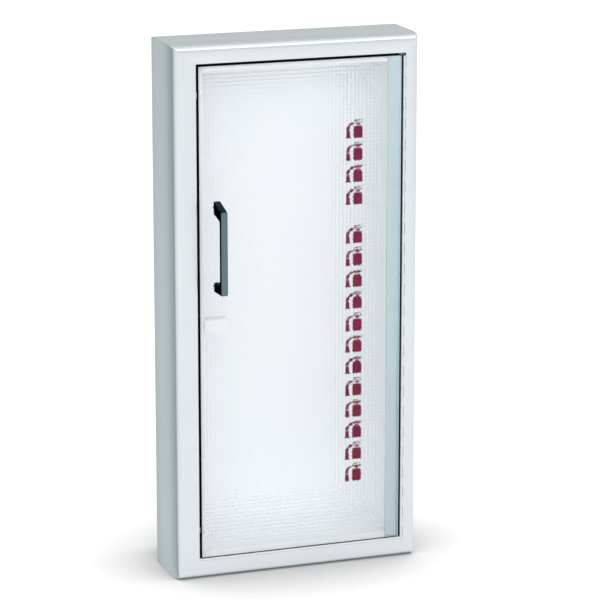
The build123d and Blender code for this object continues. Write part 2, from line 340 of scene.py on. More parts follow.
class Nodes:
    """Writes one node tree."""

    def __init__(self, tree: bpy.types.NodeTree) -> None:
        """Takes the tree to write."""
        self.tree, self.nodes, self.links = tree, tree.nodes, tree.links

    def feed(self, socket: Socket, value: object) -> None:
        """Gives an input its value.

        Args:
            socket: The input.
            value: A socket to link, a number, a colour or a vector.
        """
        if isinstance(value, Socket):
            self.links.new(value, socket)
        elif isinstance(value, tuple) and len(socket.default_value) == 4:
            socket.default_value = (*value, 1.0)
        else:
            socket.default_value = value

    def add(self, kind: str, *sources: object, **named: object) -> bpy.types.Node:
        """Adds a node.

        Args:
            kind: Its type, without ShaderNode in front.
            sources: What its inputs take, in order.
            named: Inputs by name, which starts with a capital, and the node's options.

        Returns:
            The node.
        """
        node = self.nodes.new(f"ShaderNode{kind}")
        inputs = dict(enumerate(sources))
        for key, value in named.items():
            if key[0].isupper():
                inputs[key.replace("_", " ")] = value
            else:
                setattr(node, key, value)
        for key, value in inputs.items():
            self.feed(node.inputs[key], value)
        return node

    def calculate(self, operation: str, *sources: object, **options: bool) -> Socket:
        """Gives the result of a Math node with these sources."""
        return self.add("Math", *sources, operation=operation, **options).outputs[0]

    def vectors(self, operation: str, *sources: object, **named: object) -> Socket:
        """Gives the result of a Vector Math node with these sources."""
        return self.add("VectorMath", *sources, operation=operation, **named).outputs[0]

    def ranged(
        self,
        value: Socket,
        taken: tuple[float, float] = (0.0, 1.0),
        given: tuple[float, float] = (0.0, 1.0),
        kind: str = "LINEAR",
    ) -> Socket:
        """Maps a value from one range to another, held at its ends.

        Args:
            value: The value.
            taken: The range that it has.
            given: The range that it gets.
            kind: How it runs between the ends.

        Returns:
            The mapped value.
        """
        return self.add("MapRange", value, *taken, *given, interpolation_type=kind).outputs[0]

    def mixed(self, factor: Socket, first: object, second: object) -> Socket:
        """Mixes two colours.

        Args:
            factor: 0 for the first colour and 1 for the second.
            first: The first colour, or a socket that gives it.
            second: The second one.

        Returns:
            The mix.
        """
        node = self.add("Mix", factor, data_type="RGBA")
        self.feed(node.inputs[6], first)
        self.feed(node.inputs[7], second)
        return node.outputs[2]


class Effects:
    """Shader node groups that several finishes share, each made once."""

    @staticmethod
    def start(
        name: str, inputs: dict[str, str | float], outputs: dict[str, str]
    ) -> tuple[Nodes, bpy.types.Node, bpy.types.Node]:
        """Makes an empty group with its sockets.

        Args:
            name: The group's name.
            inputs: Default value of each number, or the socket type of what isn't one.
            outputs: Socket type of each output.

        Returns:
            The group's tree with its input and output node.
        """
        group = bpy.data.node_groups.new(name, "ShaderNodeTree")
        for socket, value in inputs.items():
            kind = value if isinstance(value, str) else NUMBER
            made = group.interface.new_socket(socket, in_out="INPUT", socket_type=kind)
            if kind == NUMBER:
                made.default_value = value
        for socket, kind in outputs.items():
            group.interface.new_socket(socket, in_out="OUTPUT", socket_type=kind)
        return Nodes(group), group.nodes.new("NodeGroupInput"), group.nodes.new("NodeGroupOutput")

    @staticmethod
    @cache
    def grain() -> bpy.types.NodeTree:
        """Fine lines or specks: noise on stretched Object coordinates.

        Returns:
            A group with Vector and Across, Deep and Upright densities per metre, whose Line
            is the grain from 0 to 1 and whose Cloud is a slow variation from 0 to 1.
        """
        work, enter, leave = Effects.start(
            "grain",
            {"Vector": VECTOR, "Across": 1200.0, "Deep": 1200.0, "Upright": 20.0, "Cloud Size": 6.0},
            {"Line": NUMBER, "Cloud": NUMBER},
        )
        into = enter.outputs
        stretch = work.add("CombineXYZ", into["Across"], into["Deep"], into["Upright"])
        scaled = work.vectors("MULTIPLY", into["Vector"], stretch.outputs[0])
        line = work.add("TexNoise", Vector=scaled, Scale=1.0, Detail=3.0)
        cloud = work.add("TexNoise", Vector=into["Vector"], Scale=into["Cloud Size"], Detail=2.0)
        work.feed(leave.inputs["Line"], line.outputs["Fac"])
        work.feed(leave.inputs["Cloud"], cloud.outputs["Fac"])
        return work.tree

    @staticmethod
    @cache
    def shift() -> bpy.types.NodeTree:
        """A number moved up and down by a mask: Base + Amount * (Mask - 0.5).

        Returns:
            A group with Base, Mask and Amount whose Value is the result.
        """
        work, enter, leave = Effects.start(
            "shift", {"Base": 0.5, "Mask": 0.5, "Amount": 0.1}, {"Value": NUMBER}
        )
        into = enter.outputs
        centred = work.calculate("SUBTRACT", into["Mask"], 0.5)
        total = work.calculate("MULTIPLY_ADD", centred, into["Amount"], into["Base"])
        work.feed(leave.inputs["Value"], total)
        return work.tree

    @staticmethod
    @cache
    def tint() -> bpy.types.NodeTree:
        """Two colours mixed by a mask that is first sharpened about its middle.

        Returns:
            A group with First, Second, Mask and Contrast whose Color is the mix.
        """
        work, enter, leave = Effects.start(
            "tint",
            {"First": COLOUR, "Second": COLOUR, "Mask": 0.5, "Contrast": 1.0},
            {"Color": COLOUR},
        )
        into = enter.outputs
        centred = work.calculate("SUBTRACT", into["Mask"], 0.5)
        sharp = work.calculate("MULTIPLY_ADD", centred, into["Contrast"], 0.5, use_clamp=True)
        work.feed(leave.inputs["Color"], work.mixed(sharp, into["First"], into["Second"]))
        return work.tree

    @staticmethod
    @cache
    def sweep(stops: tuple[tuple[float, Triple], ...]) -> bpy.types.NodeTree:
        """How bright the studio is by direction: a ramp over the angle from the front.

        Args:
            stops: Angle in degrees, positive to the right, and colour, in order.

        Returns:
            A group with Vector whose Color is that of the studio's side.
        """
        work, enter, leave = Effects.start("sweep", {"Vector": VECTOR}, {"Color": COLOUR})
        apart = work.add("SeparateXYZ", enter.outputs["Vector"]).outputs
        forward = work.calculate("MULTIPLY", apart["Y"], -1.0)
        angle = work.calculate("ARCTAN2", apart["X"], forward)
        ramp = work.add("ValToRGB", work.ranged(angle, (-math.pi, math.pi)))
        elements = ramp.color_ramp.elements
        while len(elements) < len(stops):
            elements.new(0.5)
        for element, (degrees, colour) in zip(elements, stops):
            element.position = (degrees + 180.0) / 360.0
            element.color = (*colour, 1.0)
        work.feed(leave.inputs["Color"], ramp.outputs["Color"])
        return work.tree


class Shader(Nodes):
    """A material being built, with its Principled BSDF and its Object coordinates."""

    def __init__(self, name: str, **constants: float | Triple) -> None:
        """Makes the material.

        Args:
            name: The material's name.
            constants: Values for the Principled sockets, with _ for a space.
        """
        self.material = bpy.data.materials.new(name)
        self.material.use_nodes = True
        super().__init__(self.material.node_tree)
        self.surface = self.nodes["Principled BSDF"]
        self.leave = self.nodes["Material Output"]
        for key, value in constants.items():
            self.feed(self.surface.inputs[key.replace("_", " ")], value)
        coordinates = self.add("TexCoord")
        self.place = coordinates.outputs["Object"]
        self.facing = coordinates.outputs["Normal"]

    def grain(self, density: float | None = None, **values: float) -> bpy.types.NodeOutputs:
        """Places the grain.

        Args:
            density: The grain's density where it is the same in all directions.
            values: Other densities, and the size of the clouds.

        Returns:
            The grain's outputs, Line and Cloud.
        """
        if density is not None:
            values.update(Across=density, Deep=density, Upright=density)
        return self.add("Group", node_tree=Effects.grain(), Vector=self.place, **values).outputs

    def tint(self, first: Triple, second: Triple, mask: Socket, contrast: float = 1.0) -> None:
        """Colours the surface.

        Args:
            first: The colour where the mask is 0.
            second: The colour where it is 1.
            mask: The mask.
            contrast: How much the mask is sharpened.
        """
        colours = {"First": first, "Second": second, "Mask": mask, "Contrast": contrast}
        node = self.add("Group", node_tree=Effects.tint(), **colours)
        self.feed(self.surface.inputs["Base Color"], node.outputs[0])

    def shift(self, base: object, mask: Socket, amount: float) -> Socket:
        """Gives a base value moved up and down by a mask times an amount."""
        values = {"Base": base, "Mask": mask, "Amount": amount}
        return self.add("Group", node_tree=Effects.shift(), **values).outputs[0]

    def roughen(self, base: float, mask: Socket, amount: float) -> None:
        """Moves the roughness up and down by a mask times an amount."""
        self.feed(self.surface.inputs["Roughness"], self.shift(base, mask, amount))

    def bump(self, height: Socket, depth: float) -> None:
        """Raises the surface by a height mask.

        Args:
            height: The mask, from 0 to 1.
            depth: How far 1 stands above 0, in millimetres.
        """
        node = self.add("Bump", Distance=depth * MM, Height=height)
        self.feed(self.surface.inputs["Normal"], node.outputs["Normal"])


class Finish:
    """A finish: it makes its material once, from its own fields."""

    slot: str

    @cache
    def material(self) -> bpy.types.Material:
        """Gives the finish's material, made at the first call."""
        return self.build().material

    def build(self) -> Shader:
        """Builds the material's shader."""
        raise NotImplementedError

    def dress(self, *names: str) -> None:
        """Puts the finish on CAD nodes that stay in view.

        Args:
            names: The nodes' names.
        """
        for name in names:
            node = frame["nodes"][name]
            node.data.materials.clear()
            node.data.materials.append(self.material())
            LOG.info("%s: CAD node with %s", name, type(self).__name__)


@dataclass(frozen=True)
class SatinSteel(Finish):
    """Stainless sheet rubbed to a fine satin, with faint lines along its length."""

    slot: str = "trim"
    colour: Triple = (0.777, 0.812, 0.836)
    darker: Triple = (0.742, 0.782, 0.806)
    roughness: float = 0.32
    uneven: float = 0.08
    line_depth: float = 0.004

    def build(self) -> Shader:
        """Lines from stretched noise move the roughness, and clouds move the colour."""
        shader = Shader(f"satin_steel_{self.slot}", Metallic=1.0, Roughness=self.roughness)
        grain = shader.grain()
        shader.tint(self.colour, self.darker, grain["Cloud"], contrast=1.6)
        shader.roughen(self.roughness, grain["Line"], self.uneven)
        shader.bump(grain["Line"], self.line_depth)
        return shader


@dataclass(frozen=True)
class WhiteEnamel(Finish):
    """White baked enamel with a slight orange peel."""

    slot: str = "liner"
    colour: Triple = (0.892, 0.915, 0.936)
    shaded: Triple = (0.877, 0.90, 0.921)
    peel_depth: float = 0.02

    def build(self) -> Shader:
        """Even noise gives the peel, and slow clouds a slight change of tone."""
        shader = Shader("white_enamel", Roughness=0.38, Coat_Weight=0.15)
        grain = shader.grain(density=420.0)
        shader.tint(self.colour, self.shaded, grain["Cloud"], contrast=1.4)
        shader.bump(grain["Line"], self.peel_depth)
        return shader


@dataclass(frozen=True)
class ZincSheet(Finish):
    """Zinc coated sheet with spangle: crystals of slightly different grey and gloss."""

    slot: str = "shell"
    colour: Triple = (0.65, 0.68, 0.70)
    darker: Triple = (0.52, 0.55, 0.58)
    crystals: float = 130.0
    roughness: float = 0.42
    bloom_depth: float = 0.05

    def build(self) -> Shader:
        """Voronoi cells give each crystal its own tone, and clouds a dull bloom."""
        shader = Shader("zinc_sheet", Metallic=0.85, Roughness=self.roughness)
        cells = shader.add("TexVoronoi", Vector=shader.place, Scale=self.crystals, Randomness=1.0)
        apart = shader.add("SeparateColor", cells.outputs["Color"]).outputs
        shader.tint(self.colour, self.darker, apart[0], contrast=0.9)
        shader.roughen(self.roughness, apart[1], amount=0.18)
        shader.bump(shader.grain(density=1200.0)["Cloud"], self.bloom_depth)
        return shader


@dataclass(frozen=True)
class FireBoard(Finish):
    """Pressed mineral board: chalky, speckled and a little rough."""

    slot: str = "barrier"
    colour: Triple = (0.80, 0.78, 0.72)
    speck: Triple = (0.66, 0.64, 0.59)
    pit_depth: float = 0.15

    def build(self) -> Shader:
        """Fine noise gives the specks and the pitted surface."""
        shader = Shader("fire_board", Roughness=0.92)
        grain = shader.grain(density=900.0)
        shader.tint(self.colour, self.speck, grain["Line"], contrast=3.0)
        shader.bump(grain["Line"], self.pit_depth)
        return shader


@dataclass(frozen=True)
class ClearAcrylic(Finish):
    """Clear acrylic, greyer in the grooves between its prisms: painted shade.

    It lets plain light through to what it covers.
    """

    slot: str = "door"
    colour: Triple = (0.99, 0.998, 1.0)
    groove: Triple = (0.90, 0.92, 0.935)
    groove_start: float = 0.62
    glare: Triple = (0.2, 0.2, 0.2)
    ior: float = 1.49
    roughness: float = 0.26

    def build(self) -> Shader:
        """A transmitting surface that is transparent to shadow and diffuse rays."""
        shader = Shader(
            "clear_acrylic",
            Roughness=self.roughness,
            IOR=self.ior,
            Transmission_Weight=1.0,
            Specular_Tint=self.glare,
        )
        shader.roughen(self.roughness, shader.grain(Cloud_Size=14.0)["Cloud"], amount=0.03)
        # Painted shade: the groove attribute greys the colour towards the prisms' valleys.
        depth = shader.add("Attribute", attribute_name="groove").outputs["Fac"]
        line = shader.ranged(depth, taken=(self.groove_start, 1.0), kind="SMOOTHSTEP")
        shader.tint(self.colour, self.groove, line)
        path = shader.add("LightPath").outputs
        plain = shader.calculate("MAXIMUM", path["Is Shadow Ray"], path["Is Diffuse Ray"])
        through = shader.add("BsdfTransparent", WHITE)
        mix = shader.add("MixShader", plain, shader.surface.outputs[0], through.outputs[0])
        shader.feed(shader.leave.inputs["Surface"], mix.outputs[0])
        return shader


@dataclass(frozen=True)
class DarkSatin(Finish):
    """A black bar with a painted dark blue grey sheen on its front and, fainter, its top."""

    slot: str = "pull"
    colour: Triple = (0.006, 0.008, 0.012)
    front_sheen: Triple = (0.135, 0.195, 0.23)
    grazing: Triple = (0.32, 0.34, 0.36)
    top_sheen: float = 0.3
    roughness: float = 0.3

    def build(self) -> Shader:
        """Painted sheen by facing: full on the front, a third as much on the top; lines along the bar
        move the gloss.
        """
        shader = Shader(
            "dark_satin", Metallic=1.0, Roughness=self.roughness, Specular_Tint=self.grazing
        )
        grain = shader.grain(Upright=60.0, Cloud_Size=40.0)
        # Painted sheen: faces that look forwards, and less so those that look up, get the lighter
        # colour, so the sides stay black.
        apart = shader.add("SeparateXYZ", shader.facing).outputs
        front = shader.ranged(apart["Y"], taken=(-0.5, -0.97))
        top = shader.ranged(apart["Z"], taken=(0.6, 1.0), given=(0.0, self.top_sheen))
        painted_sheen = shader.shift(shader.calculate("MAXIMUM", front, top), grain["Cloud"], 0.3)
        shader.tint(self.colour, self.front_sheen, painted_sheen)
        shader.roughen(self.roughness, grain["Line"], amount=0.14)
        shader.bump(grain["Line"], depth=0.01)
        return shader


@dataclass(frozen=True)
class ZincPlate(Finish):
    """Bright zinc plate on small steel parts."""

    slot: str = "fastener"
    colour: Triple = (0.72, 0.735, 0.75)
    darker: Triple = (0.56, 0.575, 0.60)
    roughness: float = 0.25

    def build(self) -> Shader:
        """Fine noise moves colour and roughness a little."""
        shader = Shader(f"zinc_plate_{self.slot}", Metallic=1.0, Roughness=self.roughness)
        grain = shader.grain(density=1200.0, Cloud_Size=90.0)
        shader.tint(self.colour, self.darker, grain["Cloud"], contrast=1.5)
        shader.roughen(self.roughness, grain["Line"], amount=0.15)
        return shader


@dataclass(frozen=True)
class Moulded(Finish):
    """Moulded plastic or rubber with a fine spark-eroded texture."""

    slot: str
    colour: Triple
    shaded: Triple
    roughness: float = 0.55
    texture_depth: float = 0.03
    specular: float = 0.5

    def build(self) -> Shader:
        """Even fine noise gives the mould's texture."""
        gloss = {"Roughness": self.roughness, "Specular_IOR_Level": self.specular}
        shader = Shader(f"moulded_{self.slot}", **gloss)
        grain = shader.grain(density=1500.0)
        shader.tint(self.colour, self.shaded, grain["Line"], contrast=1.5)
        shader.bump(grain["Line"], self.texture_depth)
        return shader


# Black for strips that stand in for shade in gaps and grooves: painted shade.
SHADE_BLACK = Moulded("bumper", (0.006, 0.007, 0.009), (0.012, 0.013, 0.016), 0.8, 0.01, 0.0)
PALE = Moulded("bumper", (0.865, 0.89, 0.895), (0.845, 0.87, 0.875), 0.8, 0.02, 0.0)


@dataclass(frozen=True)
class SignFilm(Finish):
    """Dark red cut film, matt at its back and slightly mottled."""

    slot: str = "door"
    colour: Triple = (0.14, 0.001, 0.030)
    paler: Triple = (0.18, 0.002, 0.040)

    def build(self) -> Shader:
        """Clouds mix the two reds."""
        shader = Shader("sign_film", Roughness=0.6, Specular_IOR_Level=0.0)
        shader.tint(self.colour, self.paler, shader.grain(Cloud_Size=60.0)["Cloud"], 2.0)
        return shader


@dataclass
class TrimFrame:
    """The trim: one folded section carried round the cabinet and welded at four corners."""

    sheet: float = 1.5
    roll: float = 8.2
    lead_radius: float = 110.0
    lead_turn: float = 11.0
    lead_steps: int = 5
    fold: float = 0.9
    stop_lip: float = 9.0
    flange: float = 12.0
    bend: float = 1.2
    edge_corner: float = 1.2
    roll_corner: float = 1.8
    fold_corner: float = 0.7
    arc_steps: int = 12
    corner_steps: int = 6

    def build(self) -> None:
        """Makes the trim, which stands for its four CAD members."""
        names = ("trim_top_rail", "trim_bottom_rail", "trim_left_stile", "trim_right_stile")
        Surface(self.rings(), closed=True).make("trim_frame", SatinSteel(), Body.CABINET, names)

    def section(self) -> np.ndarray:
        """Walks once round the folded sheet.

        Returns:
            Rows of inset, share of the face's width added to it, depth behind the front,
            and plan radius of the trim's corner there.
        """
        depth, lip_front = WALL - FRONT, LIP - FRONT
        lip_back = lip_front + self.sheet
        swell = (self.roll_corner - self.edge_corner) / self.roll**2
        runs = [
            ([[self.flange, depth]], 0, 0.0),
            (arc((self.bend, depth - self.bend), self.bend, 90, 180, 3), 0, 0.0),
            (self.rolled_edge(0.0), 0, swell),
            (arc((-self.fold, self.fold), self.fold, -90, 0, 3), 1, 0.0),
            ([[0.0, lip_front], [self.stop_lip, lip_front], [self.stop_lip, lip_back]], 1, 0.0),
            (arc((self.bend - self.sheet, lip_back - self.bend), self.bend, 90, 180, 3), 1, 0.0),
            ([[-self.sheet, self.sheet]], 1, 0.0),
            (self.rolled_edge(self.sheet)[::-1], 0, swell),
            ([[self.sheet, depth - self.sheet], [self.flange, depth - self.sheet]], 0, 0.0),
        ]
        rows = []
        for points, share, growth in runs:
            inset, behind = np.array(points, float).T
            radius = self.fold_corner if share else self.edge_corner
            corner = radius + growth * inset**2
            rows.append(np.stack([inset, np.full(len(inset), float(share)), behind, corner], axis=-1))
        return np.concatenate(rows)

    def rolled_edge(self, inside: float) -> np.ndarray:
        """Gives the rolled edge, from the side to the face, in inset and depth.

        A wide arc leads in by a few degrees, and a tight one turns the rest to the face.
        Both end where the other starts, with the same direction.

        Args:
            inside: Distance inwards from the outer surface.

        Returns:
            Array of shape (points, 2).
        """
        turn, end = math.radians(self.lead_turn), 180 + self.lead_turn
        lead_in = self.lead_radius * (1.0 - math.cos(turn))
        tight = (self.roll - lead_in) / math.cos(turn)
        radius = self.lead_radius
        lead = arc((radius, 0.0), radius - inside, 180, end, self.lead_steps)
        curl = arc((self.roll, tight), tight - inside, end, 270, self.arc_steps)
        lead[:, 1] += curl[0, 1] - lead[-1, 1]
        return np.concatenate([lead[:-1], curl])

    def rings(self) -> np.ndarray:
        """Carries the section round the cabinet.

        A section point's inset from each outer edge is its own inset plus its share times
        that side's face. Its ring is the rectangle so far in, with rounded corners.

        Returns:
            Rings of shape (section points, contour points, 3).
        """
        inset, share, depth, corner = self.section().T
        left, right, bottom, top = (inset + share * face for face in self.faces())
        sides = [CABINET.left + left, CABINET.right - right, CABINET.bottom + bottom]
        borders = np.stack([*sides, CABINET.top - top], axis=-1)
        contours = rounded_contours(borders, corner, self.corner_steps)
        return np.insert(contours, 1, (FRONT + depth)[:, None], axis=2)

    def faces(self) -> list[float]:
        """Gives the widths of the left, right, bottom and top face."""
        members = (("left_stile", 0), ("right_stile", 0), ("bottom_rail", 2), ("top_rail", 2))
        widths = [np.ptp(node_box(f"trim_{name}")[:, axis]) for name, axis in members]
        return [float(width) - self.stop_lip for width in widths]


@dataclass
class PrismDoor:
    """The door panel: prisms on its front inside a plain rim, smooth at the back."""

    pitch: float = 4.7625
    rise: float = 0.9
    air: float = 0.1
    hinge_rim: float = 16.9
    least_rim: float = 1.2
    chamfer: float = 0.3

    def build(self) -> None:
        """Makes the panel, which stands for its CAD node."""
        surface = Surface()
        x, z = self.grid()
        self.add_rim(surface, self.add_prisms(surface, x, z))
        piece = surface.make("prism_door", ClearAcrylic(), Body.DOOR, ("door_panel",), crease=5.0)
        # The groove attribute, 1 at the valleys, masks the acrylic's painted shade.
        groove = np.zeros(surface.count)
        groove[: len(x) * len(z)] = 1.0
        piece.data.attributes.new("groove", "FLOAT", "POINT").data.foreach_set("value", groove)

    def grid(self) -> tuple[np.ndarray, np.ndarray]:
        """Lays out as many whole cells as the rim leaves.

        Returns:
            The prisms' grid lines in X and in Z.
        """
        width = DOOR.right - DOOR.left - self.hinge_rim - self.least_rim
        height = DOOR.top - DOOR.bottom - 2 * self.least_rim
        columns, rows = int(width / self.pitch), int(height / self.pitch)
        x = DOOR.right - self.hinge_rim - self.pitch * np.arange(columns, -1, -1)
        z = (DOOR.top + DOOR.bottom) / 2 + self.pitch * (np.arange(rows + 1) - rows / 2)
        return x, z

    def add_prisms(self, surface: Surface, x: np.ndarray, z: np.ndarray) -> list[list[int]]:
        """Adds four-sided pyramids: depth is the rise at the cell's edges, 0 at its middle.

        The valleys round the field are joined to new points in the rim's plane.

        Args:
            surface: The empty surface to add to.
            x: Grid lines in X.
            z: Grid lines in Z.

        Returns:
            The numbers of those points along each side, from corner to corner.
        """
        columns, rows = len(x) - 1, len(z) - 1
        stride = columns + 1
        valley_x, valley_z = np.meshgrid(x, z)
        tip_x, tip_z = np.meshgrid((x[1:] + x[:-1]) / 2, (z[1:] + z[:-1]) / 2)
        row, column = np.meshgrid(np.arange(rows), np.arange(columns), indexing="ij")
        low_left = row * stride + column
        corners = np.stack(
            [low_left, low_left + 1, low_left + stride + 1, low_left + stride], axis=-1
        )
        tip = (valley_x.size + row * columns + column)[..., None].repeat(4, axis=-1)
        triangles = np.stack([corners, np.roll(corners, -1, axis=-1), tip], axis=-1)
        loop = np.concatenate(
            [
                np.arange(columns),
                columns + stride * np.arange(rows),
                stride * rows + np.arange(columns, 0, -1),
                stride * np.arange(rows, 0, -1),
            ]
        )
        front = valley_x.size + tip_x.size + np.arange(len(loop))
        quads = np.stack([loop, np.roll(loop, -1), np.roll(front, -1), front], axis=-1)
        points_x = np.concatenate([valley_x.ravel(), tip_x.ravel(), x[loop % stride]])
        points_z = np.concatenate([valley_z.ravel(), tip_z.ravel(), z[loop // stride]])
        depth = np.where(np.arange(len(points_x)) < valley_x.size, self.rise, 0.0)
        points = np.stack([points_x, FRONT + depth, points_z], axis=-1)
        surface.add(points, triangles.reshape(-1, 3).tolist() + quads.tolist())
        ring = [*front.tolist(), int(front[0])]
        stops = np.cumsum([0, columns, rows, columns, rows])
        return [ring[first : last + 1] for first, last in zip(stops, stops[1:])]

    def add_rim(self, surface: Surface, sides: list[list[int]]) -> None:
        """Adds the rim round the prisms, the chamfered edges and the back.

        Args:
            surface: The surface that holds the prisms.
            sides: The points that the rim's front meets, along each side.
        """
        thickness, cut = DOOR_BACK - FRONT - self.air, self.chamfer
        rings = []
        for inset, depth in ((cut, 0.0), (0.0, cut), (0.0, thickness - cut), (cut, thickness)):
            edge, y = DOOR.grow(-inset), FRONT + depth
            rings += [(edge.left, y, edge.bottom), (edge.right, y, edge.bottom)]
            rings += [(edge.right, y, edge.top), (edge.left, y, edge.top)]
        faces = [
            [ring + side, ring + after, ring + 4 + after, ring + 4 + side]
            for ring in (0, 4, 8)
            for side, after in enumerate((1, 2, 3, 0))
        ]
        faces.append([12, 13, 14, 15])
        for side, inner in enumerate(sides):
            met = [number - surface.count for number in inner[::-1]]
            faces.append([side, (side + 1) % 4, *met])
        surface.add(np.array(rings), faces)


@dataclass
class SignColumn:
    """A column of plain extinguisher signs cut from film, on the back of the door."""

    pitch: float = 27.15
    word_gap: float = 20.6
    first_count: int = 4
    second_count: int = 12
    top_below_door: float = 86.5
    from_door_left: float = 197.0
    film: float = 0.12

    def shapes(self) -> list[np.ndarray]:
        """Draws one sign about its middle.

        Returns:
            Outlines of its bottle, collar, head, lever, hose and nozzle.
        """
        bottle = np.concatenate(
            [
                arc((-1.0, -8.9), 1.6, 180, 270, 4),
                arc((8.4, -8.9), 1.6, 270, 360, 4),
                arc((6.4, 1.0), 3.6, 0, 90, 6),
                arc((1.0, 1.0), 3.6, 90, 180, 6),
            ]
        )
        collar = np.array([(1.2, 5.2), (6.2, 5.2), (6.2, 7.0), (1.2, 7.0)])
        head = np.array([(-1.4, 7.5), (9.0, 7.5), (10.4, 9.3), (-1.4, 9.3)])
        lever = np.array([(-1.4, 9.8), (11.6, 11.4), (1.0, 11.4)])
        outer = arc((-2.2, -0.5), 1.0, 90, 180, 8) * [8.2, 9.6] + [15.6, 4.0]
        inner = arc((-2.2, -0.5), 1.0, 180, 90, 8) * [5.2, 6.6] + [9.0, 2.5]
        nozzle = np.array([(-10.6, -1.2), (-7.6, -1.2), (-4.6, -10.5), (-12.2, -10.5)])
        return [bottle, collar, head, lever, np.concatenate([outer, inner]), nozzle]

    def build(self) -> None:
        """Makes one mesh for all signs: each outline carried through the film."""
        surface = Surface()
        x, depths = DOOR.left + self.from_door_left, [DOOR_BACK, DOOR_BACK + self.film]
        for number in range(self.first_count + self.second_count):
            gap = self.word_gap if number >= self.first_count else 0.0
            z = DOOR.top - self.top_below_door - number * self.pitch - gap
            for outline in self.shapes():
                surface.add_rings(stacked_rings(outline + [x, z], depths, axis=1))
        surface.make("door_signs", SignFilm(), Body.DOOR)


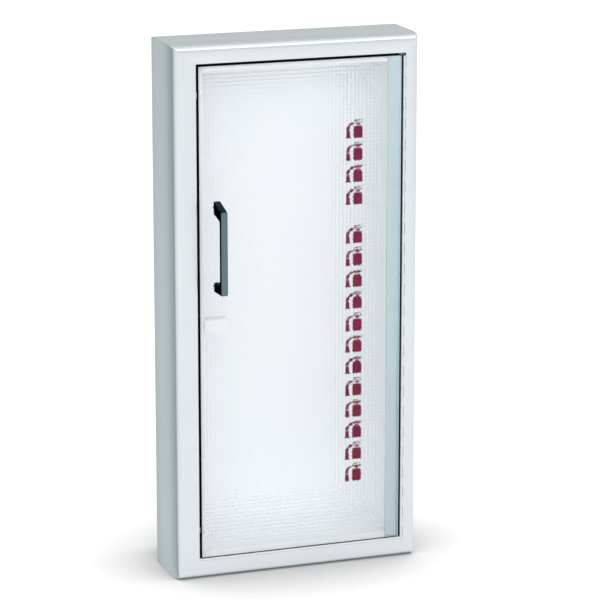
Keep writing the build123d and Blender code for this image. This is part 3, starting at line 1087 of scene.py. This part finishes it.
@dataclass
class HingeLine:
    """The continuous hinge: knuckles by turns on one pin, and a folded leaf each side."""

    sheet: float = 0.85
    pin: float = 0.85
    play: float = 0.05
    gap: float = 0.3
    relief: float = 0.5
    round_off: float = 0.12
    bend: float = 0.9
    points: int = 24
    target_length: float = 12.7
    leaf_short: float = 4.3
    rivet: float = 2.3
    rivet_count: int = 9
    rivet_from_end: float = 25.0
    cap: float = 0.55
    cap_set_in: float = 0.25
    cap_back: float = 0.1
    overlap: float = 0.02
    web_start: float = 0.86
    seam_angle: float = 0.1
    shade_bead_width: float = 0.5
    shade_bead_depth: float = 0.8
    shade_bead_set_in: float = 0.1

    def build(self) -> None:
        """Makes leaves and pin, which stand for their CAD nodes, and what lies on them."""
        # The leaves, the panel's cap and the pin get a darker, bluer steel than the knuckles: painted
        # shade.
        finish = SatinSteel("hinge", (0.53, 0.635, 0.675), (0.50, 0.605, 0.645), 0.34)
        bright = SatinSteel("hinge", roughness=0.3)
        height = DOOR.top - DOOR.bottom
        count = 2 * math.floor((height / self.target_length - 1) / 2) + 1
        self.pitch = height / count
        self.barrel = self.pin + self.sheet + self.play
        bottoms = DOOR.bottom + self.pitch * np.arange(count) + self.gap / 2
        for side, part, body, chosen in (
            (Side.RIGHT, "frame", Body.CABINET, bottoms[::2]),
            (Side.LEFT, "door", Body.DOOR, bottoms[1::2]),
        ):
            node = f"hinge_{part}_leaf"
            leaf = Surface(self.leaf(side, node_box(node)))
            if side is Side.LEFT:
                low = (DOOR.right - self.overlap, FRONT + self.cap_set_in, DOOR.bottom)
                leaf.add_box(low, (DOOR.right + self.cap, DOOR_BACK - self.cap_back, DOOR.top))
            leaf.make(f"satin_{part}_leaf", finish, body, (node,), crease=40.0)
            knuckles = Surface(*[self.knuckle(side, bottom) for bottom in chosen], closed=True)
            knuckles.make(f"{part}_knuckles", bright, body, crease=40.0)
        self.build_shade_bead(bottoms[::2])
        self.build_rivets()
        self.build_pin(finish)

    def build_shade_bead(self, bottoms: np.ndarray) -> None:
        """Lays black painted shade between the stile's fold and the frame's knuckles.

        Args:
            bottoms: Lower end of each of the frame's knuckles.
        """
        left, front = PIN_X + self.barrel + self.play, FRONT + self.shade_bead_set_in
        right, back = left + self.shade_bead_width, front + self.shade_bead_depth
        shade_bead = Surface()
        for bottom in bottoms:
            shade_bead.add_box((left, front, bottom), (right, back, bottom + self.pitch - self.gap))
        shade_bead.make("stile_shade_bead", SHADE_BLACK, Body.CABINET)

    def build_rivets(self) -> None:
        """Sets the rivets on the back of the door's leaf."""
        leaf, inset = node_box("hinge_door_leaf"), self.rivet_from_end
        x = (leaf[0, 0] + self.leaf_short + DOOR.right) / 2
        heights = np.linspace(DOOR.bottom + inset, DOOR.top - inset, self.rivet_count)
        rivets = Surface(*[rivet_rings((x, leaf[1, 1], z), self.rivet) for z in heights])
        rivets.make("leaf_rivets", ZincPlate(), Body.DOOR, crease=60.0)

    def build_pin(self, finish: Finish) -> None:
        """Makes the pin, a round bar with chamfered ends.

        Args:
            finish: Its finish.
        """
        low, high = node_box("hinge_pin")[:, 2]
        edge = self.round_off
        circle = arc((0.0, 0.0), 1.0, 0, 360, self.points)[:-1]
        radii = np.array([self.pin - edge, self.pin, self.pin, self.pin - edge])
        rings = stacked_rings(circle, [low, low + edge, high - edge, high])
        rings[:, :, :2] = rings[:, :, :2] * radii[:, None, None] + (PIN_X, PIN_Y)
        Surface(rings).make("satin_pin", finish, Body.CABINET, ("hinge_pin",))

    def knuckle(self, side: Side, bottom: float) -> np.ndarray:
        """Rolls the sheet once round the pin and down into its leaf.

        The outline follows the barrel's circle except on its leaf's side, where it runs
        straight back as a tab one sheet thick. The bore is a circle with as many points.

        Args:
            side: The side of the pin where the leaf starts.
            bottom: The knuckle's lower end.

        Returns:
            Rings of shape (6, points, 3), from outside to inside and closed.
        """
        sign, barrel, web = side.value, self.barrel, self.barrel - self.sheet
        tab_end = barrel + self.relief + self.overlap
        tab = [(web, barrel * self.web_start), (web, tab_end), (barrel, tab_end), (barrel, 0.0)]
        seam = math.acos(web / barrel) + self.seam_angle
        around = -np.linspace(self.seam_angle, 2.0 * math.pi - seam, self.points - len(tab))
        body = barrel * np.stack([np.cos(around), np.sin(around)], axis=-1)
        outer = np.concatenate([body, tab])
        facing = np.arctan2(outer[:, 1], outer[:, 0])
        inner = (self.pin + self.play) * np.stack([np.cos(facing), np.sin(facing)], axis=-1)
        small = outer * (1.0 - self.round_off / barrel)
        top, edge = bottom + self.pitch - self.gap, self.round_off
        layers = np.array([small, outer, outer, small, inner, inner])
        heights = np.array([bottom, bottom + edge, top - edge, top, top, bottom])
        rings = np.empty((6, len(outer), 3))
        rings[:, :, :2] = layers * (sign, 1.0) + (PIN_X, PIN_Y)
        rings[:, :, 2] = heights[:, None]
        return rings

    def leaf(self, side: Side, box: np.ndarray) -> np.ndarray:
        """Gives the leaf behind its knuckles: straight on the frame, turned in on the door.

        Args:
            side: The side of the pin where the leaf starts.
            box: The CAD leaf's box.

        Returns:
            Two rings, at the leaf's lower and upper end.
        """
        outside = PIN_X + side.value * self.barrel
        inside = outside - side.value * self.sheet
        start, end = PIN_Y + self.barrel + self.relief, box[1, 1]
        if side is Side.RIGHT:
            outline = np.array([(inside, start), (outside, start), (outside, end), (inside, end)])
        else:
            tip = box[0, 0] + self.leaf_short
            turn = arc((inside - self.bend, end - self.bend), self.bend, 0, 90, 4)
            flat = [(tip, end), (tip, end - self.sheet), (outside, end - self.sheet)]
            outline = np.concatenate([[(outside, start), (inside, start)], turn, flat])
        return stacked_rings(outline, box[:, 2])


@dataclass
class ShadeStripsAndFoam:
    """Painted shade as black strips on the panel's edges, in the hinge groove and in the reveal; pale
    foam on the lip.
    """

    thickness: float = 0.5
    below: float = 0.2
    front_set_in: float = 0.2
    shade_bead_set_in: float = 0.7
    shade_bead_clear: float = 0.03
    shade_bead_back: float = 0.9
    reveal_shade_width: float = 2.6
    reveal_shade_height: float = 3.4
    foam_height: float = 2.2
    cover: float = 0.2
    sill_set_in: float = 1.6
    sill_below: float = 0.6
    bumper_clear: float = 0.3
    foam_lift: float = 0.3
    clear: float = 0.1

    def build(self) -> None:
        """Makes the door's strip, the filler in the hinge groove and the strip in the reveal, all
        black painted shade, and the foam.
        """
        self.reveal = float(node_box("trim_left_stile")[1, 0]) - TrimFrame.stop_lip
        self.build_strip()
        self.build_shade_bead()
        self.build_reveal_shade()
        self.build_foam()

    def build_strip(self) -> None:
        """Lays a black strip of painted shade round the panel's left, top and bottom edge."""
        front, wide = FRONT + self.front_set_in, self.thickness
        outer = Border(DOOR.left - wide, DOOR.right, DOOR.bottom - self.below, DOOR.top + wide)
        depths = [front, DOOR_BACK, DOOR_BACK, front]
        rings = framed_rings([outer, outer, DOOR, DOOR], depths)
        Surface(rings).make("edge_shade_strip", SHADE_BLACK, Body.DOOR)

    def build_shade_bead(self) -> None:
        """Fills the groove between the panel's cap and the knuckles with black painted shade, on the
        door's leaf.
        """
        left = DOOR.right + HingeLine.cap + self.shade_bead_clear
        right = node_box("hinge_frame_leaf")[0, 0] - self.clear
        shade_bead = Surface()
        low = (left, FRONT + self.shade_bead_set_in, DOOR.bottom)
        shade_bead.add_box(low, (right, DOOR_BACK - self.shade_bead_back, DOOR.top))
        shade_bead.make("hinge_shade_bead", SHADE_BLACK, Body.DOOR)

    def add_left(
        self, surface: Surface, sides: tuple[float, float], front: float, top: float
    ) -> None:
        """Adds a strip on the left lip, which stops at both bumpers.

        Args:
            surface: The surface to add to.
            sides: Its left and right side.
            front: Its front.
            top: Its upper end.
        """
        stops = [DOOR.bottom]
        for place in ("lower", "upper"):
            low, high = node_box(f"door_bumper_{place}")[:, 2]
            stops += [low - self.bumper_clear, high + self.bumper_clear]
        stops.append(top)
        for low, high in zip(stops[::2], stops[1::2]):
            surface.add_box((sides[0], front, low), (sides[1], LIP, high))

    def build_reveal_shade(self) -> None:
        """Lays a black strip of painted shade in the reveal at the door's left and top edge."""
        front, wide = LIP - self.reveal_shade_height, self.reveal_shade_width
        top, inner = DOOR.top + DOOR.left - self.reveal, self.reveal + wide
        reveal_shade = Surface()
        self.add_left(reveal_shade, (self.reveal, inner), front, top)
        reveal_shade.add_box((inner, front, top - wide), (DOOR.right, LIP, top))
        reveal_shade.make("reveal_shade_strip", SHADE_BLACK, Body.CABINET)

    def build_foam(self) -> None:
        """Lays pale foam on the stop lip behind the door, and in the lower reveal."""
        front = LIP - self.foam_height
        left = self.reveal + self.reveal_shade_width + self.clear
        right = node_box("trim_left_stile")[1, 0] + self.cover
        above = node_box("trim_top_rail")[0, 2] - self.cover
        lip_edge = node_box("trim_bottom_rail")[1, 2]
        end = node_box("hinge_door_leaf")[0, 0] + HingeLine.leaf_short
        foam = Surface()
        self.add_left(foam, (left, right), front, DOOR.top)
        foam.add_box((right, front, above), (end, LIP, DOOR.top))
        low = (right, front, DOOR.bottom + self.foam_lift)
        foam.add_box(low, (end, LIP, lip_edge + self.cover))
        sill = lip_edge - TrimFrame.stop_lip + self.clear
        sill_end = CABINET.right - TrimFrame().faces()[1] - self.clear
        low = (self.reveal + self.clear, FRONT + self.sill_set_in, sill)
        foam.add_box(low, (sill_end, LIP, DOOR.bottom - self.sill_below))
        foam.make("lip_foam", PALE, Body.CABINET)


@dataclass
class PullFixings:
    """The pull's screws, with a cross recess, and their washers behind the panel."""

    head: float = 3.4
    head_height: float = 2.4
    droop: float = 0.55
    washer_bore: float = 2.3
    washer_bevel: float = 0.2
    recess: float = 1.3
    recess_half_width: float = 0.55
    recess_reach: float = 2.3
    bar_blend: float = 0.06
    reach_blend: float = 0.08
    shank: float = 2.0
    sides: int = 48

    def build(self) -> None:
        """Makes a screw head and a washer for each end of the pull."""
        for place in ("upper", "lower"):
            self.build_screw(place)
            self.build_washer(place)

    def build_screw(self, place: str) -> None:
        """Makes a domed head: a circle's cap, sunk where a cross of two bars lies.

        The head's height over a point is dome(radius), less the recess where the point is
        within half a bar's width of either axis and within the bars' reach.

        Args:
            place: Upper or lower.
        """
        box = node_box(f"pull_screw_{place}")
        x, _, z = (box[0] + box[1]) / 2
        seat = box[1, 1] - self.head_height
        radius = np.concatenate([[0.02], np.linspace(0.15, self.head, 22)])[:, None]
        angle = np.linspace(0.0, 2.0 * math.pi, self.sides, endpoint=False)
        across, upright = radius * np.cos(angle), radius * np.sin(angle)
        dome = self.head_height * (1.0 - self.droop * (radius / self.head) ** 4)
        bar = np.minimum(np.abs(across), np.abs(upright))
        beside = 1.0 + np.exp((bar - self.recess_half_width) / self.bar_blend)
        beyond = 1.0 + np.exp((radius - self.recess_reach) / self.reach_blend)
        height = dome - self.recess / beside / beyond
        rings = np.stack([x + across, seat + height, z + upright], axis=-1)
        shank = (box[1, 0] - box[0, 0]) / 2 - self.head + self.shank
        neck = np.array([(self.head, 0.0), (shank, 0.0), (shank, box[0, 1] - seat)])
        turned = turned_rings(neck, (x, seat, z), self.sides)
        surface = Surface(np.concatenate([rings, turned]))
        node = f"pull_screw_{place}"
        surface.make(f"cross_screw_{place}", ZincPlate(), Body.DOOR, (node,), crease=50.0)

    def build_washer(self, place: str) -> None:
        """Makes a bevelled ring: its six-sided section turned round the screw's axis.

        Args:
            place: Upper or lower.
        """
        box = node_box(f"pull_washer_{place}")
        x, _, z = (box[0] + box[1]) / 2
        outer, sheet = (box[1, 0] - box[0, 0]) / 2, box[1, 1] - box[0, 1]
        bore, bevel = self.washer_bore, self.washer_bevel
        front = [(bore, 0.0), (outer - bevel, 0.0), (outer, bevel)]
        back = [(outer, sheet - bevel), (outer - bevel, sheet), (bore, sheet)]
        rings = turned_rings(np.array(front + back), (x, box[0, 1], z), self.sides)
        surface = Surface(rings, closed=True)
        surface.make(f"flat_washer_{place}", ZincPlate(), Body.DOOR, (f"pull_washer_{place}",))


@dataclass
class Bumpers:
    """Two soft bumpers on the stop lip."""

    round_off: float = 1.4
    middle: float = 0.2
    sides: int = 32

    def build(self) -> None:
        """Makes each as a turned dome: a short side and a quarter round over its edge."""
        finish = Moulded("bumper", (0.80, 0.82, 0.83), (0.76, 0.78, 0.79), 0.5, 0.01)
        for place in ("upper", "lower"):
            node = f"door_bumper_{place}"
            box = node_box(node)
            x, _, z = (box[0] + box[1]) / 2
            radius, reach = (box[1, 0] - box[0, 0]) / 2, box[1, 1] - box[0, 1]
            edge = arc((radius - self.round_off, self.round_off - reach), self.round_off, 0, -90, 6)
            start = [(self.middle, 0.0), (radius, 0.0)]
            profile = np.concatenate([start, edge, [(self.middle, -reach)]])
            surface = Surface(turned_rings(profile, (x, box[1, 1], z), self.sides))
            surface.make(f"soft_bumper_{place}", finish, Body.CABINET, (node,))


@dataclass
class TubDetails:
    """A riveted seam strip round the shell's back, and caulk in the liner's corners."""

    edge: float = 1.2
    strip: float = 14.0
    strip_height: float = 1.2
    rivet: float = 3.4
    rivet_pitch: float = 58.0
    sunk: float = 0.2
    caulk: float = 3.2
    caulk_steps: int = 5
    caulk_start: float = 0.4
    pole_sheet: float = 2.0
    pole_depth: float = 1.0
    pole_offsets: tuple[float, float] = (-5.2, 3.2)
    pole_margins: tuple[float, float] = (5.0, 3.0)

    def build(self) -> None:
        """Makes the strip, its rivets, the caulk and the catch's pole plates."""
        self.build_strip()
        self.build_caulk()
        self.build_poles()

    def build_strip(self) -> None:
        """Lays the strip near the back's edges, with rivets along its middle."""
        border, back = Border.around(shell_box), float(shell_box[1, 1])
        outer, inner = border.grow(-self.edge), border.grow(-self.edge - self.strip)
        front, proud = back - self.sunk, back + self.strip_height
        rings = framed_rings([outer, outer, inner, inner], [front, proud, proud, front])
        plain = ZincPlate("shell", (0.56, 0.58, 0.60), (0.49, 0.51, 0.53), 0.4)
        Surface(rings, closed=True).make("seam_strip", plain, Body.CABINET)
        middle = border.grow(-self.edge - self.strip / 2)
        across = round((middle.right - middle.left) / self.rivet_pitch) + 1
        upright = round((middle.top - middle.bottom) / self.rivet_pitch) + 1
        level = np.linspace(middle.left, middle.right, across)
        rising = np.linspace(middle.bottom, middle.top, upright)[1:-1]
        places = [(x, z) for x in level for z in (middle.bottom, middle.top)]
        places += [(x, z) for z in rising for x in (middle.left, middle.right)]
        rivets = Surface(*[rivet_rings((x, proud, z), self.rivet) for x, z in places])
        rivets.make("seam_rivets", ZincPlate(), Body.CABINET, crease=60.0)

    def build_caulk(self) -> None:
        """Fills the liner's inner edges: the space between two walls and an arc to both."""
        left, right, bottom, top, back = (
            node_box(f"liner_{side}") for side in ("left", "right", "bottom", "top", "back")
        )
        near_corner = (left[1, 0], left[0, 1] + self.caulk_start, bottom[1, 2])
        inner = np.array([near_corner, (right[0, 0], back[0, 1], top[0, 2])])
        size, sunk = self.caulk, -self.sunk
        hollow = arc((size, size), size, 270, 180, self.caulk_steps)
        shape = np.concatenate([[(sunk, sunk), (size, sunk)], hollow, [(sunk, size)]])
        caulk = Surface()
        for along, first, second in ((1, 0, 2), (2, 0, 1), (0, 1, 2)):
            for near in (1,) if first == 1 else (0, 1):
                for far in (1,) if second == 1 else (0, 1):
                    corner = np.array([inner[near, first], inner[far, second]])
                    outline = corner + np.array([1 - 2 * near, 1 - 2 * far]) * shape
                    caulk.add_rings(stacked_rings(outline, inner[:, along], along))
        caulk.make("liner_caulk", WhiteEnamel(), Body.CABINET)

    def build_poles(self) -> None:
        """Sets the two steel poles of the catch in its front, for the strike to rest on."""
        (left, front, bottom), (right, _, top) = node_box("catch_magnet")
        left, right = left + self.pole_margins[0], right - self.pole_margins[1]
        poles = Surface()
        for offset in self.pole_offsets:
            low = (bottom + top) / 2 + offset
            high = (right, front + self.pole_depth, low + self.pole_sheet)
            poles.add_box((left, front - self.sunk, low), high)
        poles.make("catch_poles", ZincPlate(), Body.CABINET)


class Studio:
    """Floor, lights, world and camera."""

    azimuth = -19.63
    elevation = 13.75
    distance = 5.56
    focal_pixels = 3023.0
    aside = 0.0039
    above = 0.0174
    image_pixels = 600
    sensor_width = 36.0
    floor_half = 9.0
    world_light = 0.57
    floor_bounce = 0.8
    floor_tone = 0.35
    floor_glow = 0.95
    shadow_reach = 0.2
    shadow_depth = 1.5
    mirrored_depth = 0.28
    overhead = (0.40, 0.75)
    band = (0.16, 0.36)
    band_light = (1.0, 0.8)
    lamp_aim = 0.32
    # Name, place in metres, side in metres, power in watts, and whether gloss shows it
    lamps = (
        ("key", (1.05, -2.1, 3.3), 1.5, 12.0, True),
        ("fill", (-0.5, -3.5, 1.2), 2.6, 62.0, False),
        ("side", (-2.4, -2.3, 1.0), 1.6, 14.0, False),
    )
    # Angle in degrees from the front, positive to the right, and colour
    sweep = (
        (-180.0, (0.58, 0.62, 0.62)),
        (-164.0, (0.56, 0.61, 0.61)),
        (-150.0, (0.40, 0.45, 0.45)),
        (-132.0, (0.25, 0.28, 0.28)),
        (-116.0, (0.28, 0.30, 0.31)),
        (-98.0, (0.62, 0.64, 0.65)),
        (-70.0, (0.74, 0.76, 0.77)),
        (-25.0, (0.82, 0.83, 0.84)),
        (15.0, (0.84, 0.84, 0.84)),
        (90.0, (0.84, 0.84, 0.84)),
        (130.0, (0.74, 0.78, 0.78)),
        (180.0, (0.58, 0.62, 0.62)),
    )

    def build(self) -> None:
        """Sets the stage in order."""
        self.place_floor()
        self.place_lights()
        self.set_world()
        self.place_camera()
        bpy.context.scene.view_settings.view_transform = "Standard"

    def place_floor(self) -> None:
        """Lays a pale floor that looks white but keeps the cabinet's soft shadow."""
        half, z = self.floor_half, CABINET.bottom * MM
        mesh = bpy.data.meshes.new("floor")
        points = [(-half, -half, z), (half, -half, z), (half, half, z), (-half, half, z)]
        mesh.from_pydata(points, [], [(0, 1, 2, 3)])
        floor = bpy.data.objects.new("floor", mesh)
        bpy.context.scene.collection.objects.link(floor)
        work = Shader("floor", Roughness=0.9, Specular_IOR_Level=0.0)
        work.material.cycles.emission_sampling = "NONE"
        seen, dimmed = self.seen(work, self.from_front(work))
        pale = work.ranged(seen, given=(self.floor_bounce, self.floor_tone))
        tone = work.vectors("SCALE", dimmed, Scale=pale)
        work.feed(work.surface.inputs["Base Color"], tone)
        near = work.add("AmbientOcclusion", Distance=self.shadow_reach).outputs["AO"]
        glossy = work.add("LightPath").outputs["Is Glossy Ray"]
        depth = work.ranged(glossy, given=(self.shadow_depth, self.mirrored_depth))
        shadow = work.calculate("POWER", near, depth)
        lit = work.calculate("MULTIPLY", shadow, seen)
        strength = work.calculate("MULTIPLY", lit, self.floor_glow)
        glow = work.add("Emission", dimmed, strength)
        both = work.add("AddShader", work.surface.outputs[0], glow.outputs[0])
        work.feed(work.leave.inputs["Surface"], both.outputs[0])
        mesh.materials.append(work.material)

    def from_front(self, work: Shader) -> Socket:
        """Finds the way to a floor point from the nearest point of the cabinet's front.

        Args:
            work: The floor's shader.

        Returns:
            The way, as a vector.
        """
        nearest = work.place
        for operation, x in (("MAXIMUM", CABINET.left), ("MINIMUM", CABINET.right)):
            nearest = work.vectors(operation, nearest, (x * MM, FRONT * MM, 0.0))
        return work.vectors("SUBTRACT", work.place, nearest)

    def seen(self, work: Nodes, direction: Socket) -> tuple[Socket, Socket]:
        """Tells rays that see the background from those that light.

        Args:
            work: The tree to write.
            direction: Where the background is, seen from the cabinet.

        Returns:
            A socket that is 1 for camera, glossy and transmission rays, and a colour that
            is white except for glossy rays, which see the darker sides of the studio.
        """
        path = work.add("LightPath").outputs
        either = work.calculate("MAXIMUM", path["Is Camera Ray"], path["Is Glossy Ray"])
        seen = work.calculate("MAXIMUM", either, path["Is Transmission Ray"])
        around = work.add("Group", node_tree=Effects.sweep(self.sweep), Vector=direction)
        return seen, work.mixed(path["Is Glossy Ray"], WHITE, around.outputs["Color"])

    def place_lights(self) -> None:
        """Hangs square lamps that face the cabinet: a high one, and two wide ones in front."""
        for name, place, size, power, glossy in self.lamps:
            data = bpy.data.lights.new(name, "AREA")
            data.size = size
            data.energy = power
            lamp = bpy.data.objects.new(name, data)
            lamp.location = place
            aim = Vector((0.0, FRONT * MM, self.lamp_aim)) - Vector(place)
            lamp.rotation_euler = aim.to_track_quat("-Z", "Y").to_euler()
            lamp.visible_glossy = glossy
            bpy.context.scene.collection.objects.link(lamp)

    def set_world(self) -> None:
        """Sets an even grey world that is white to the camera and darker behind for metal."""
        world = bpy.data.worlds.new("studio")
        bpy.context.scene.world = world
        world.use_nodes = True
        world.cycles.sampling_method = "NONE"
        work = Nodes(world.node_tree)
        direction = work.add("TexCoord").outputs["Generated"]
        seen, dimmed = self.seen(work, direction)
        height = work.add("SeparateXYZ", direction).outputs["Z"]
        high = work.ranged(height, self.overhead, kind="SMOOTHSTEP")
        band = work.ranged(height, self.band, self.band_light)
        level = work.vectors("SCALE", dimmed, Scale=band)
        background = work.nodes["Background"]
        work.feed(background.inputs["Color"], work.mixed(high, level, WHITE))
        strength = work.ranged(seen, given=(self.world_light, 1.0))
        work.feed(background.inputs["Strength"], strength)

    def place_camera(self) -> None:
        """Sets the camera at the photograph's angle, sizes in shares of the trim's height."""
        height = (CABINET.top - CABINET.bottom) * MM
        azimuth, elevation = math.radians(self.azimuth), math.radians(self.elevation)
        level = math.cos(elevation)
        back = Vector((math.sin(azimuth) * level, -math.cos(azimuth) * level, math.sin(elevation)))
        right = Vector((math.cos(azimuth), math.sin(azimuth), 0.0))
        up = back.cross(right)
        middle = Vector((0.0, FRONT * MM, (CABINET.top + CABINET.bottom) / 2 * MM))
        eye = middle + height * (back * self.distance + right * self.aside + up * self.above)
        data = bpy.data.cameras.new("camera")
        data.sensor_width = self.sensor_width
        data.lens = self.focal_pixels / self.image_pixels * self.sensor_width
        camera = bpy.data.objects.new("camera", data)
        turn = Matrix((right, up, back)).transposed().to_4x4()
        camera.matrix_world = Matrix.Translation(eye) @ turn
        bpy.context.scene.collection.objects.link(camera)
        bpy.context.scene.camera = camera


def dress_cad_nodes() -> None:
    """Puts finishes on the CAD nodes that stay in view."""
    sides = ("left", "right", "top", "bottom", "back")
    for finish, part in ((WhiteEnamel(), "liner"), (FireBoard(), "barrier"), (ZincSheet(), "shell")):
        finish.dress(*[f"{part}_{side}" for side in sides])
    DarkSatin().dress("pull_handle")
    strike = Moulded("strike", (0.79, 0.815, 0.82), (0.77, 0.795, 0.80), 0.4, 0.01, 0.1)
    strike.dress("catch_strike")
    Moulded("catch_case", (0.89, 0.905, 0.91), (0.86, 0.875, 0.88)).dress("catch_magnet")


def main() -> None:
    """Builds the sub-assemblies in order."""
    logging.basicConfig(level=logging.INFO, format="%(name)s: %(message)s")
    dress_cad_nodes()
    parts = (TrimFrame, PrismDoor, SignColumn, HingeLine, ShadeStripsAndFoam, PullFixings, Bumpers)
    for part in (*parts, TubDetails, Studio):
        part().build()


if __name__ == "__main__":
    main()
